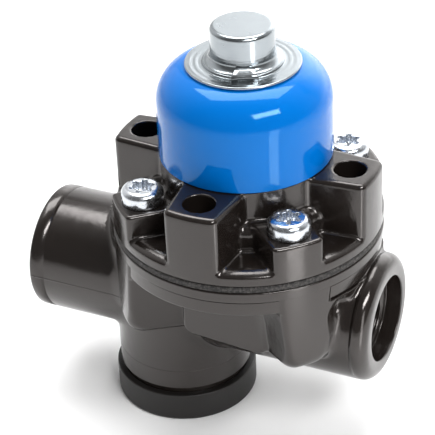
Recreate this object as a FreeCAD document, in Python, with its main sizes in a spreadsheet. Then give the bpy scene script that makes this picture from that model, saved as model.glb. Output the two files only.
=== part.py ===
import FreeCAD, Part
import os
import Sketcher
from FreeCAD import Placement, Rotation, Vector

# Diaphragm pressure protection valve: a round body casting with two coaxial ports
# and an offset check valve chamber, under a cover casting with four mounting bosses.
# Lengths are in millimetres. Forms are drawn from the joint between body and cover,
# and each finished piece is then placed so that the mounting face lies at height 0.

SIZES = [
    # joint and overall
    ("boss_height", 20.8, "mounting face above the body and cover joint"),
    ("flange_radius", 39.0, "round flange of cover and body"),
    ("diaphragm_thickness", 2.1, "clamped rubber sheet"),
    # cover casting
    ("cover_rim", 3.0, "straight edge of the cover flange"),
    ("cover_floor", 4.2, "pocket floor above the joint"),
    ("rim_bevel", 1.8, "sloped edge between rim and pocket floor"),
    ("dome_inset", 11.4, "wide foot of the spring tower inside the flange edge"),
    ("dome_height", 11.5, "screw boss faces and dome shoulder"),
    ("dome_round", 3.0, "rounded dome shoulder"),
    ("tower_inset", 3.4, "spring tower inside its wide foot"),
    ("neck_inset", 1.3, "neck for the dust cap inside the tower"),
    ("roof_height", 39.5, "top of the spring tower"),
    ("roof_round", 7.0, "rounded tower top"),
    ("lock_boss_radius", 12.0, "boss that the lock nut bears on"),
    ("lock_boss_rise", 1.0, "height of that boss"),
    ("tower_wall", 4.3, "wall round the spring room"),
    ("roof_wall", 5.5, "thickness of the tower roof"),
    ("guide_wall", 3.3, "wall round the piston guide"),
    ("piston_room", 10.6, "height of the piston guide"),
    ("boss_width", 15.6, "mounting boss at the flange edge"),
    ("boss_flare", 4.5, "angle of each boss side"),
    ("boss_edge", 1.6, "rounded boss edges"),
    ("mount_edge", 7.7, "mounting hole circle inside the flange edge"),
    ("mount_hole", 4.5, "radius of the cast mounting holes"),
    ("mount_depth", 15.5, "depth of the mounting holes"),
    ("mount_mouth", 0.5, "bevel at the hole mouths"),
    ("lug_width", 14.4, "screw boss at the flange edge"),
    ("lug_edge", 1.0, "rounded screw boss edges"),
    # cover screws
    ("screw_edge", 7.7, "screw circle inside the flange edge"),
    ("screw_shank", 3.0, "thread radius"),
    ("screw_clear", 0.3, "play round a shank in the cover"),
    ("thread_play", 0.02, "play between a thread and its hole"),
    ("screw_head", 6.0, "head radius"),
    ("screw_head_height", 4.65, "head height"),
    ("screw_head_round", 1.9, "rounded head edge"),
    ("screw_length", 28.0, "length under the head"),
    ("screw_hole_spare", 2.0, "hole beyond the screw tip"),
    ("recess_core", 2.55, "star recess, core radius"),
    ("recess_lobe", 0.75, "star recess, lobe radius"),
    ("recess_reach", 2.75, "star recess, lobe centre"),
    ("recess_depth", 2.6, "star recess depth"),
    # body casting
    ("upper_band", 3.1, "height of the full flange edge"),
    ("lower_band", 4.8, "height of the stepped flange edge"),
    ("band_step", 0.5, "step between the two edges"),
    ("port_drop", 26.9, "port axis below the joint"),
    ("barrel_radius", 18.84, "port barrels"),
    ("inlet_reach", 65.0, "inlet face from the main axis"),
    ("outlet_reach", 42.8, "outlet face from the main axis"),
    ("inlet_round", 0.9, "rounded inlet end"),
    ("outlet_round", 3.6, "rounded outlet end"),
    ("port_seat_radius", 12.68, "counterbore for the fitting seal"),
    ("port_seat_depth", 5.0, "counterbore depth"),
    ("port_thread", 10.19, "minor radius of the port thread"),
    ("port_thread_depth", 14.0, "threaded length"),
    ("passage_radius", 6.5, "outlet passage"),
    ("block_front", 24.0, "flat block face from the main axis"),
    ("block_left", 11.0, "block end on the inlet side"),
    ("block_right", 15.0, "block end on the outlet side"),
    ("block_drop", 31.0, "block underside below the joint"),
    ("column_drop", 31.5, "screw column underside below the joint"),
    ("column_round", 5.0, "rounded foot of a screw column"),
    ("column_near", 5.9, "free side of a screw column from its screw line, at the flange edge"),
    ("column_flare", 12.0, "angle by which that side spreads inwards"),
    ("column_far", 10.0, "barrel side of a screw column from its screw line"),
    ("column_root", 12.0, "inner end of a screw column"),
    ("column_draft", 6.0, "draft angle of the columns"),
    ("chamber_offset", 22.7, "check valve axis from the main axis"),
    ("chamber_radius", 20.1, "check valve chamber outside"),
    ("neck_length", 8.7, "neck below the shoulder of the chamber"),
    ("chamber_neck", 19.3, "neck that carries the lower cap"),
    ("neck_drop", 64.6, "end of the neck below the joint"),
    ("chamber_bore", 14.5, "bore of the check valve chamber"),
    ("chamber_depth", 21.1, "chamber from its roof to its open end"),
    ("clamp_width", 12.0, "clamped ring of the diaphragm"),
    ("well_floor", 7.0, "floor of that room below the joint"),
    ("channel_radius", 19.0, "ring channel round the seat pillar"),
    ("channel_floor", 13.0, "floor of the ring channel below the joint"),
    ("seat_pillar", 12.0, "pillar that carries the valve seat"),
    ("pillar_drop", 5.5, "pillar top below the joint"),
    ("inner_passage", 5.0, "radius of the inlet passage behind the port"),
    ("feed_hole", 4.0, "radius of the hole up to the air room"),
    ("feed_hole_offset", 20.5, "that hole from the main axis"),
    ("return_drop", 37.0, "return passage below the joint"),
    ("return_radius", 3.5, "return passage"),
    ("return_well", 6.5, "hole above the check valve"),
    ("feed_width", 7.0, "feed slot between inlet and chambers"),
    ("feed_length", 4.5, "feed slot along the port axis"),
    ("feed_wall", 2.4, "wall between feed slot and return well"),
    # main valve
    ("seat_lip", 8.3, "radius of the seat lip"),
    ("seat_shank", 9.0, "radius of the seat insert in its hole"),
    ("seat_collar", 10.6, "collar of the seat insert"),
    ("seat_bore", 6.5, "bore of the seat insert"),
    ("seat_grip", 7.0, "length of the insert in its hole"),
    ("seat_collar_height", 1.5, "collar of the seat insert"),
    ("press_play", 0.01, "play of pressed pieces"),
    ("fold_inset", 0.9, "middle of the diaphragm fold inside the piston guide"),
    ("fold_depth", 2.4, "depth of the diaphragm fold"),
    ("fold_flat", 1.0, "half width of the fold bottom"),
    ("fold_slope", 1.5, "run of the fold sides"),
    ("diaphragm_inset", 0.2, "diaphragm edge inside the flange edge"),
    ("piston_play", 0.4, "play between piston and guide"),
    ("piston_height", 7.0, "piston"),
    ("piston_bevel", 3.3, "bevel round the piston face on the diaphragm"),
    ("piston_floor", 3.4, "spring seat of the piston"),
    ("coil_room", 0.4, "room beside the main spring in the piston"),
    ("plate_play", 1.4, "play between spring plate and spring room"),
    ("coil_inset", 2.3, "middle of the main spring's wire inside the plate edge"),
    ("spring_wire", 2.1, "wire radius of the main spring"),
    ("spring_turns", 5.0, "turns of the main spring"),
    ("plate_headroom", 2.4, "room above the spring plate"),
    ("plate_thickness", 2.6, "upper spring plate"),
    ("hub_play", 0.2, "room between the main spring and its hubs"),
    ("plate_hub_drop", 2.4, "hub under the upper spring plate"),
    # adjusting screw and its covers
    ("adjuster_radius", 5.0, "adjusting screw thread"),
    ("adjuster_stick", 13.6, "adjusting screw above its boss"),
    ("adjuster_play", 0.05, "play of the adjusting thread"),
    ("drive_flats", 5.0, "hexagon socket across flats"),
    ("drive_depth", 4.0, "hexagon socket depth"),
    ("nut_flats", 17.0, "lock nut across flats"),
    ("nut_height", 5.0, "lock nut"),
    ("cap_play", 0.3, "room between dust cap and neck"),
    ("cap_rim_gap", 0.2, "dust cap rim above the mounting face"),
    ("nut_room", 0.9, "room between lock nut and dust cap"),
    ("cap_wall", 1.5, "dust cap wall"),
    ("cap_round", 10.5, "dust cap shoulder"),
    ("cap_hole", 7.5, "hole in the dust cap top"),
    ("hat_flange", 16.2, "brim of the steel cap"),
    ("hat_sheet", 0.9, "sheet of the steel cap"),
    ("hat_crown", 9.0, "crown radius of the steel cap"),
    ("hat_room", 4.7, "room over the adjusting screw"),
    ("hat_crown_round", 1.3, "rounded crown edge"),
    ("hat_step", 11.4, "raised ring round the crown"),
    ("hat_step_rise", 0.7, "rise of that ring"),
    ("hat_fillet", 2.2, "sweep from ring to crown"),
    # check valve
    ("check_lip", 8.6, "radius of the check valve lip"),
    ("check_lip_drop", 1.5, "depth of the check valve lip"),
    ("check_disc", 11.0, "check disc"),
    ("check_disc_height", 3.6, "check disc"),
    ("check_seal", 9.6, "radius of the rubber facing"),
    ("check_seal_depth", 1.6, "rubber facing let into the disc"),
    ("check_stem", 3.0, "guide stem"),
    ("check_stem_length", 7.0, "guide stem under the disc"),
    ("check_play", 0.1, "play of the guide stem"),
    ("check_spring_mean", 6.4, "mean coil radius of the check spring"),
    ("check_spring_wire", 0.45, "wire radius of the check spring"),
    ("check_spring_turns", 4.0, "turns of the check spring"),
    ("clip_inset", 3.4, "retaining ring inside the open end of the chamber"),
    ("plug_height", 6.5, "plug"),
    ("plug_play", 0.05, "play of the plug in its bore"),
    ("plug_sink", 1.6, "spring recess of the plug"),
    ("plug_sink_radius", 8.0, "spring recess of the plug"),
    ("guide_depth", 5.1, "guide hole of the plug"),
    ("ring_groove", 1.9, "depth of the sealing ring groove"),
    ("ring_groove_width", 2.4, "sealing ring groove"),
    ("ring_cord", 0.93, "cord radius of the sealing ring"),
    ("ring_play", 0.03, "play of the sealing ring in its groove"),
    ("clip_thickness", 1.2, "retaining ring"),
    ("clip_depth", 1.1, "retaining ring groove"),
    ("clip_width", 2.4, "retaining ring section"),
    ("clip_mouth", 9.0, "mouth of the retaining ring"),
    ("lower_cap_wall", 2.05, "wall of the lower cap"),
    ("lower_cap_gap", 1.8, "groove between chamber shoulder and lower cap"),
    ("lower_cap_room", 0.3, "room between the neck and the floor of the lower cap"),
    ("lower_cap_floor", 2.0, "floor of the lower cap"),
    ("lower_cap_play", 0.05, "play of the lower cap on the neck"),
    ("lower_cap_edge", 1.0, "rounded base of the lower cap"),
]

# Sizes that follow from those above.
FOLLOWING = {
    "dome_radius": "flange_radius - dome_inset",
    "tower_radius": "dome_radius - tower_inset",
    "neck_radius": "tower_radius - neck_inset",
    "spring_bore": "neck_radius - tower_wall",
    "piston_bore": "dome_radius - guide_wall",
    "mount_circle": "flange_radius - mount_edge",
    "screw_circle": "flange_radius - screw_edge",
    "well_radius": "flange_radius - clamp_width",
    "fold_radius": "piston_bore - fold_inset",
    "piston_foot": "piston_bore - piston_bevel",
    "plate_radius": "spring_bore - plate_play",
    "spring_mean": "plate_radius - coil_inset",
    "spring_hub": "spring_mean - spring_wire - hub_play",
    "piston_recess": "spring_mean + spring_wire + coil_room",
    "boss_top": "roof_height + lock_boss_rise",
    "spring_top": "roof_height - roof_wall - plate_headroom - plate_thickness",
    "adjuster_length": "boss_top + adjuster_stick - spring_top - plate_thickness",
    "cap_radius": "neck_radius + cap_play + cap_wall",
    "cap_top": "boss_top + nut_height + nut_room + cap_wall",
    "hat_top": "boss_top + adjuster_stick + hat_room + hat_sheet",
    "chamber_drop": "neck_drop - neck_length",
    "chamber_roof": "neck_drop - chamber_depth",
    "plug_top": "neck_drop - clip_inset - clip_thickness - plug_height",
    "lower_cap_radius": "chamber_neck + lower_cap_play + lower_cap_wall",
    "lower_cap_rim": "chamber_drop + lower_cap_gap",
    "lower_cap_base": "neck_drop + lower_cap_room + lower_cap_floor",
}


def make_sheet(doc):
    """Spreadsheet with one named cell for each driving dimension."""
    sheet = doc.addObject("Spreadsheet::Sheet", "Sizes")
    for row, (alias, value, note) in enumerate(SIZES, start=1):
        sheet.set(f"A{row}", note)
        sheet.set(f"B{row}", str(value))
        sheet.setAlias(f"B{row}", alias)
    doc.recompute()
    return sheet


doc = FreeCAD.newDocument("pressure_protection_valve")
sheet = make_sheet(doc)
probe = doc.addObject("Spreadsheet::Sheet", "Formulas")
ALIASES = {alias for alias, value, note in SIZES}
PLANES = {"XY": "XY_Plane", "XZ": "XZ_Plane", "YZ": "YZ_Plane"}
TINY = 1e-6
NEAR = 1e-4
WIRE_SIDES = 8
QUARTERS = (0, 90, 180, 270)
DIAGONALS = {"front_right": -45, "front_left": -135, "rear_left": 135, "rear_right": 45}


def linked(formula):
    """A formula of size names as an expression on the spreadsheet's cells."""
    words = []
    word = ""
    for letter in formula + " ":
        if letter.isalpha() or letter == "_":
            word += letter
            continue
        if word in FOLLOWING:
            word = "(" + linked(FOLLOWING[word]) + ")"
        words.append("Sizes." + word if word in ALIASES else word)
        words.append(letter)
        word = ""
    return "".join(words).strip()


def number(formula):
    """Present value of a formula, worked out by the Formulas sheet."""
    probe.set("A1", "=" + linked(formula))
    probe.recompute()
    return float(probe.get("A1"))


def bind(thing, **formulas):
    """Tie properties to formulas; a double underscore in a name stands for a dot."""
    for key, formula in formulas.items():
        thing.setExpression(key.replace("__", "."), linked(formula))
    return thing


def origin_plane(body, plane):
    role = PLANES[plane]
    return next(part for part in body.Origin.OriginFeatures if part.Role == role)


def new_body(name, angle=0, x="0", y="0", z="0"):
    """Empty body turned about Z by angle, with its place tied to formulas."""
    body = doc.addObject("PartDesign::Body", name)
    body.Placement = Placement(Vector(), Rotation(Vector(0, 0, 1), angle))
    bind(body, Placement__Base__x=x, Placement__Base__y=y, Placement__Base__z=z)
    return body


def hold(sketch, index, axis, formula, value):
    """Fix one coordinate of a corner to a formula of sizes."""
    kind = "DistanceX" if axis == 0 else "DistanceY"
    if abs(value) < TINY:
        sketch.addConstraint(Sketcher.Constraint("PointOnObject", index, 1, -2 if axis == 0 else -1))
        return
    if value > 0:
        place = sketch.addConstraint(Sketcher.Constraint(kind, -1, 1, index, 1, value))
        sketch.setExpression(f"Constraints[{place}]", linked(formula))
        return
    place = sketch.addConstraint(Sketcher.Constraint(kind, index, 1, -1, 1, -value))
    sketch.setExpression(f"Constraints[{place}]", linked(f"-({formula})"))


def outline(body, plane, corners, height="0"):
    """Closed sketch of straight lines; each corner is a pair of formulas."""
    sketch = body.newObject("Sketcher::SketchObject", body.Name + "_outline")
    sketch.AttachmentSupport = [(origin_plane(body, plane), "")]
    sketch.MapMode = "FlatFace"
    bind(sketch, AttachmentOffset__Base__z=height)
    points = [(number(a), number(b)) for a, b in corners]
    lines = []
    for (x1, y1), (x2, y2) in zip(points, points[1:] + points[:1]):
        lines.append(Part.LineSegment(Vector(x1, y1, 0), Vector(x2, y2, 0)))
    sketch.addGeometry(lines, False)
    count = len(points)
    sketch.addConstraint(
        [Sketcher.Constraint("Coincident", i, 2, (i + 1) % count, 1) for i in range(count)])
    for index, ((a, b), (x, y)) in enumerate(zip(corners, points)):
        hold(sketch, index, 0, a, x)
        hold(sketch, index, 1, b, y)
    return sketch


def disc_outline(body, plane, radius, x="0", y="0", height="0"):
    """Sketch of one circle."""
    sketch = body.newObject("Sketcher::SketchObject", body.Name + "_circle")
    sketch.AttachmentSupport = [(origin_plane(body, plane), "")]
    sketch.MapMode = "FlatFace"
    bind(sketch, AttachmentOffset__Base__z=height)
    centre = Vector(number(x), number(y), 0)
    sketch.addGeometry(Part.Circle(centre, Vector(0, 0, 1), number(radius)), False)
    place = sketch.addConstraint(Sketcher.Constraint("Radius", 0, number(radius)))
    sketch.setExpression(f"Constraints[{place}]", linked(radius))
    for axis, formula, value in ((0, x, centre.x), (1, y, centre.y)):
        if abs(value) < TINY:
            sketch.addConstraint(Sketcher.Constraint("PointOnObject", 0, 3, -2 if axis == 0 else -1))
            continue
        kind = "DistanceX" if axis == 0 else "DistanceY"
        place = sketch.addConstraint(Sketcher.Constraint(kind, -1, 1, 0, 3, value))
        sketch.setExpression(f"Constraints[{place}]", linked(formula))
    return sketch


def turn(body, corners, axis="V_Axis"):
    """Turned form: an outline of (radius, height) corners swept about an axis."""
    sketch = outline(body, "XZ", corners)
    feature = body.newObject("PartDesign::Revolution", body.Name + "_turned")
    feature.Profile = sketch
    feature.ReferenceAxis = (sketch, [axis])
    feature.Angle = 360
    doc.recompute()
    return feature


def turned(name, corners, axis="V_Axis", **place):
    body = new_body(name, **place)
    turn(body, corners, axis)
    return body


def pad(body, sketch, length, down=False, taper=None):
    feature = body.newObject("PartDesign::Pad", body.Name + "_pad")
    feature.Profile = sketch
    feature.Reversed = down
    bind(feature, Length=length)
    if taper:
        bind(feature, TaperAngle=taper)
    doc.recompute()
    return feature


def pocket(body, sketch, depth, up=False):
    """Cut a sketch into the body, downwards unless up is set."""
    before = body.Shape.Volume
    feature = body.newObject("PartDesign::Pocket", body.Name + "_pocket")
    feature.Profile = sketch
    feature.Reversed = up
    bind(feature, Length=depth)
    doc.recompute()
    if not body.Shape.Volume < before - TINY:
        raise RuntimeError(feature.Name + " removes nothing")
    return feature


def ring_edge(radius, height):
    """Test for a full circle of this radius at this height."""
    def test(edge):
        curve = edge.Curve
        return (isinstance(curve, Part.Circle)
                and abs(curve.Radius - number(radius)) < NEAR
                and abs(curve.Center.z - number(height)) < NEAR)
    return test


def round_edges(body, radius, test):
    """Fillet every edge of the body that passes the test."""
    base = body.Tip
    names = [f"Edge{i}" for i, edge in enumerate(base.Shape.Edges, start=1) if test(edge)]
    if not names:
        raise RuntimeError(body.Name + " has no edge to round")
    feature = body.newObject("PartDesign::Fillet", body.Name + "_round")
    feature.Base = (base, names)
    bind(feature, Radius=radius)
    doc.recompute()
    return feature


def cylinder(name, radius, height, x="0", y="0", z="0", along="Z"):
    """Plain cylinder standing on (x, y, z), or lying along +X from there."""
    thing = doc.addObject("Part::Cylinder", name)
    if along == "X":
        thing.Placement = Placement(Vector(), Rotation(Vector(0, 1, 0), 90))
    bind(thing, Radius=radius, Height=height)
    return bind(thing, Placement__Base__x=x, Placement__Base__y=y, Placement__Base__z=z)


def cone(name, low_radius, high_radius, height, x="0", y="0", z="0"):
    thing = doc.addObject("Part::Cone", name)
    bind(thing, Radius1=low_radius, Radius2=high_radius, Height=height)
    return bind(thing, Placement__Base__x=x, Placement__Base__y=y, Placement__Base__z=z)


def box(name, low, lengths):
    """Box from its lowest corner and its three lengths, all formulas."""
    thing = doc.addObject("Part::Box", name)
    bind(thing, Length=lengths[0], Width=lengths[1], Height=lengths[2])
    return bind(thing, Placement__Base__x=low[0], Placement__Base__y=low[1], Placement__Base__z=low[2])


def fuse(name, things):
    result = doc.addObject("Part::MultiFuse", name)
    result.Shapes = things
    result.Refine = True
    return result


def cut(name, base, tool):
    result = doc.addObject("Part::Cut", name)
    result.Base = base
    result.Tool = tool
    result.Refine = True
    return result


def common(name, first, second):
    result = doc.addObject("Part::Common", name)
    result.Base = first
    result.Tool = second
    result.Refine = True
    return result


PIECES = []


def finish(thing, label, x="0", y="0", z="0"):
    """Name a finished piece and set it down from the mounting face."""
    thing.Label = label
    bind(thing, Placement__Base__x=x, Placement__Base__y=y, Placement__Base__z=f"{z} - boss_height")
    PIECES.append(thing)
    return thing


def around(angle, radius):
    """Formulas of a point on a circle about the main axis."""
    return f"{radius} * cos({angle} deg)", f"{radius} * sin({angle} deg)"


def flared_boss(name, angle, width, height, edge):
    """Cast boss flush with the flange edge, wider towards the tower, edges rounded."""
    body = new_body(name, angle=angle)
    reach = "(flange_radius + boss_edge)"
    flare = "tan(boss_flare * 1 deg)"
    inner = f"({width} / 2 + (flange_radius - spring_bore) * {flare})"
    outer = f"({width} / 2 - boss_edge * {flare})"
    corners = [("spring_bore", f"-{inner}"), (reach, f"-{outer}"), (reach, outer), ("spring_bore", inner)]
    pad(body, outline(body, "XY", corners), height)
    ring = [("flange_radius", "-cover_floor"), ("flange_radius * 2", "-cover_floor"),
            ("flange_radius * 2", f"{height} + cover_floor"), ("flange_radius", f"{height} + cover_floor")]
    groove = body.newObject("PartDesign::Groove", name + "_flush")
    groove.Profile = outline(body, "XZ", ring)
    groove.ReferenceAxis = (groove.Profile[0], ["V_Axis"])
    groove.Angle = 360
    doc.recompute()
    top = number(height)
    face = number("spring_bore") + TINY

    def rounded(item):
        box_of = item.BoundBox
        on_top = box_of.ZMin > top - TINY and box_of.XMax > face
        upright = box_of.ZLength > top - TINY and box_of.XLength < TINY and box_of.XMin > face
        return on_top or upright

    round_edges(body, edge, rounded)
    return body


def make_cover():
    """Cover casting: flange, dome, spring tower, four mounting and four screw bosses."""
    shell = turned("cover_shell", [
        ("0", "0"), ("flange_radius", "0"), ("flange_radius", "cover_rim"),
        ("flange_radius - rim_bevel", "cover_floor"), ("dome_radius", "cover_floor"),
        ("dome_radius", "dome_height"), ("tower_radius", "dome_height"), ("tower_radius", "boss_height"),
        ("neck_radius", "boss_height"), ("neck_radius", "roof_height"), ("lock_boss_radius", "roof_height"),
        ("lock_boss_radius", "roof_height + lock_boss_rise"), ("0", "roof_height + lock_boss_rise")])
    round_edges(shell, "dome_round", ring_edge("dome_radius", "dome_height"))
    round_edges(shell, "roof_round", ring_edge("neck_radius", "roof_height"))
    solids = [shell]
    hollows = [
        cylinder("piston_guide", "piston_bore", "piston_room"),
        cylinder("spring_room", "spring_bore", "roof_height - roof_wall"),
        cylinder("adjuster_hole", "adjuster_radius + adjuster_play", "roof_height + lock_boss_rise")]
    for angle in QUARTERS:
        solids.append(flared_boss(f"mounting_boss_{angle}", angle, "boss_width", "boss_height", "boss_edge"))
        x, y = around(angle, "mount_circle")
        hollows.append(cylinder(f"mounting_hole_{angle}", "mount_hole", "mount_depth", x, y,
                                "boss_height - mount_depth"))
        hollows.append(cone(f"mounting_mouth_{angle}", "mount_hole", "mount_hole + mount_mouth",
                            "mount_mouth", x, y, "boss_height - mount_mouth"))
    for name, angle in DIAGONALS.items():
        solids.append(flared_boss("screw_boss_" + name, angle, "lug_width", "dome_height", "lug_edge"))
        x, y = around(angle, "screw_circle")
        hollows.append(cylinder("cover_hole_" + name, "screw_shank + screw_clear", "dome_height", x, y))
    return finish(cut("cover_cut", fuse("cover_solids", solids), fuse("cover_hollows", hollows)), "cover")


def column(name, angle, free_side):
    """Tapered column under a screw, its free side on one hand and a port barrel on the other."""
    body = new_body("column_" + name, angle=angle)
    flare = f"{free_side} * tan(column_flare * 1 deg)"
    root = f"{free_side} * column_near + (flange_radius - column_root) * {flare}"
    tip = f"{free_side} * column_near - flange_radius / 10 * {flare}"
    far = f"{-free_side} * column_far"
    corners = [("column_root", root), ("flange_radius * 1.1", tip),
               ("flange_radius * 1.1", far), ("column_root", far)]
    sketch = outline(body, "XY", corners, height="-diaphragm_thickness - upper_band")
    pad(body, sketch, "column_drop - diaphragm_thickness - upper_band", down=True, taper="-column_draft * 1 deg")
    return body


def body_flange():
    """Round flange of the body with a small step in its edge."""
    top = "-diaphragm_thickness"
    middle = "-diaphragm_thickness - upper_band"
    low = "-diaphragm_thickness - upper_band - lower_band"
    body = turned("body_flange", [
        ("0", top), ("flange_radius", top), ("flange_radius", middle),
        ("flange_radius - band_step", middle), ("flange_radius - band_step", low), ("0", low)])
    round_edges(body, "boss_edge / 2", ring_edge("flange_radius - band_step", low))
    return body


def screw_columns():
    """The four screw columns, flush with the flange and rounded at their feet."""
    columns = [column("front_right", DIAGONALS["front_right"], -1), column("front_left", DIAGONALS["front_left"], 1),
               column("rear_left", DIAGONALS["rear_left"], -1), column("rear_right", DIAGONALS["rear_right"], 1)]
    envelope = turned("column_envelope", [
        ("0", "-diaphragm_thickness"), ("flange_radius", "-diaphragm_thickness"),
        ("flange_radius", "-column_drop"), ("0", "-column_drop")])
    round_edges(envelope, "column_round", ring_edge("flange_radius", "-column_drop"))
    return common("columns", fuse("column_forms", columns), envelope)


def port_barrel():
    """Both port barrels as one bar along X, with rounded ends."""
    body = new_body("port_barrel", z="-port_drop")
    turn(body, [("-inlet_reach", "0"), ("outlet_reach", "0"), ("outlet_reach", "barrel_radius"),
                ("-inlet_reach", "barrel_radius")], axis="H_Axis")

    def end_at(reach):
        return lambda edge: (isinstance(edge.Curve, Part.Circle)
                             and abs(edge.Curve.Center.x - number(reach)) < NEAR)

    round_edges(body, "outlet_round", end_at("outlet_reach"))
    round_edges(body, "inlet_round", end_at("-inlet_reach"))
    return body


def port_hollows(side, sign, reach):
    """Counterbore and thread bore of one port, cut from its face inwards."""
    def inward(depth):
        return f"{reach} - {depth}" if sign > 0 else f"-{reach}"

    level = "-port_drop"
    return [
        cylinder(side + "_counterbore", "port_seat_radius", "port_seat_depth",
                 x=inward("port_seat_depth"), z=level, along="X"),
        cylinder(side + "_thread", "port_thread", "port_seat_depth + port_thread_depth",
                 x=inward("(port_seat_depth + port_thread_depth)"), z=level, along="X")]


def air_passages():
    """Ways from the inlet to both valves, and from both valves to the outlet."""
    port_end = "port_seat_depth"
    slot_near = "chamber_offset + return_well + feed_wall"
    return [
        cylinder("outlet_passage", "passage_radius", f"outlet_reach - {port_end}", z="-port_drop", along="X"),
        cylinder("inlet_passage", "inner_passage", "inlet_reach - feed_hole_offset",
                 x="-inlet_reach", z="-port_drop", along="X"),
        cylinder("feed_hole", "feed_hole", "port_drop - channel_floor + thread_play",
                 x="-feed_hole_offset", z="-port_drop"),
        box("feed_slot", (f"-({slot_near} + feed_length)", "-feed_width / 2", "-chamber_roof - thread_play"),
            ("feed_length", "feed_width", "chamber_roof - port_drop")),
        cylinder("seat_passage", "seat_bore", "return_drop + return_radius - pillar_drop",
                 z="-return_drop - return_radius"),
        cylinder("seat_hole", "seat_shank + press_play", "seat_grip", z="-pillar_drop - seat_grip"),
        cylinder("return_passage", "return_radius", "chamber_offset", x="-chamber_offset",
                 z="-return_drop", along="X"),
        cylinder("return_hole", "return_well", "chamber_roof + check_lip_drop - return_drop + return_radius",
                 x="-chamber_offset", z="-chamber_roof - check_lip_drop")]


def make_body():
    """Body casting: flange, screw columns, block, coaxial ports and check valve chamber."""
    chamber = turned("chamber_form", [
        ("0", "-diaphragm_thickness - upper_band"), ("chamber_radius", "-diaphragm_thickness - upper_band"),
        ("chamber_radius", "-chamber_drop"), ("chamber_neck", "-chamber_drop"),
        ("chamber_neck", "-neck_drop"), ("0", "-neck_drop")], x="-chamber_offset")
    block = box("block", ("-block_left", "-block_front", "-block_drop"),
                ("block_left + block_right", "block_front * 2", "block_drop - diaphragm_thickness - upper_band"))
    solids = fuse("body_solids", [body_flange(), screw_columns(), port_barrel(), chamber, block])
    air_room = turned("air_room", [
        ("0", "0"), ("well_radius", "0"), ("well_radius", "-well_floor"), ("channel_radius", "-well_floor"),
        ("channel_radius", "-channel_floor"), ("seat_pillar", "-channel_floor"),
        ("seat_pillar", "-pillar_drop"), ("0", "-pillar_drop")])
    roof = "-chamber_roof"
    chamber_room = turned("chamber_room", [
        ("0", "-neck_drop"), ("chamber_bore", "-neck_drop"), ("chamber_bore", roof),
        ("check_lip", roof), ("check_lip", "-chamber_roof - check_lip_drop"),
        ("0", "-chamber_roof - check_lip_drop")], x="-chamber_offset")
    hollows = [air_room, chamber_room]
    hollows.append(cylinder("clip_groove", "chamber_bore + clip_depth", "clip_thickness + thread_play",
                            x="-chamber_offset", z="-plug_top - plug_height - clip_thickness - thread_play"))
    hollows += port_hollows("inlet", -1, "inlet_reach")
    hollows += port_hollows("outlet", 1, "outlet_reach")
    hollows += air_passages()
    depth = "screw_length - dome_height + screw_hole_spare"
    for name, angle in DIAGONALS.items():
        x, y = around(angle, "screw_circle")
        hollows.append(cylinder("body_hole_" + name, "screw_shank + thread_play", depth, x, y, f"-({depth})"))
    return finish(cut("body_cut", solids, fuse("body_hollows", hollows)), "valve_body")


def make_diaphragm():
    """Rubber sheet clamped at its edge, with one fold round the piston."""
    low = "-diaphragm_thickness"
    edge = "flange_radius - diaphragm_inset"
    top_half = "(fold_flat + fold_slope)"
    sheet_form = turned("diaphragm_form", [
        ("0", "0"), (f"fold_radius - {top_half}", "0"), ("fold_radius - fold_flat", "-fold_depth"),
        ("fold_radius + fold_flat", "-fold_depth"), (f"fold_radius + {top_half}", "0"), (edge, "0"),
        (edge, low), (f"fold_radius + {top_half} + fold_flat / 2", low),
        ("fold_radius + fold_flat * 1.7", f"{low} - fold_depth"),
        ("fold_radius - fold_flat * 1.7", f"{low} - fold_depth"),
        (f"fold_radius - {top_half} - fold_flat / 2", low), ("0", low)])
    holes = []
    for name, angle in DIAGONALS.items():
        x, y = around(angle, "screw_circle")
        holes.append(cylinder("diaphragm_hole_" + name, "screw_shank + screw_clear",
                              "diaphragm_thickness * 2", x, y, "-diaphragm_thickness * 1.5"))
    return finish(cut("diaphragm_cut", sheet_form, fuse("diaphragm_holes", holes)), "diaphragm")


def make_main_valve():
    """Seat insert, piston and upper spring plate."""
    collar = "-pillar_drop + seat_collar_height"
    finish(turned("seat_form", [
        ("seat_bore", "-pillar_drop - seat_grip"), ("seat_shank", "-pillar_drop - seat_grip"),
        ("seat_shank", "-pillar_drop"), ("seat_collar", "-pillar_drop"), ("seat_collar", collar),
        ("seat_lip", collar), ("seat_lip", "-diaphragm_thickness"), ("seat_bore", "-diaphragm_thickness")]),
        "seat_insert")
    guide = "piston_bore - piston_play"
    finish(turned("piston_form", [
        ("0", "0"), ("piston_foot", "0"), (guide, f"{guide} - piston_foot"), (guide, "piston_height"),
        ("piston_recess", "piston_height"), ("piston_recess", "piston_floor"), ("spring_hub", "piston_floor"),
        ("spring_hub", "piston_height"), ("0", "piston_height")]), "spring_piston")
    top = "spring_top + plate_thickness"
    finish(turned("plate_form", [
        ("0", "spring_top - plate_hub_drop"), ("spring_hub", "spring_top - plate_hub_drop"),
        ("spring_hub", "spring_top"), ("plate_radius", "spring_top"), ("plate_radius", top), ("0", top)]),
        "spring_plate")


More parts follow.
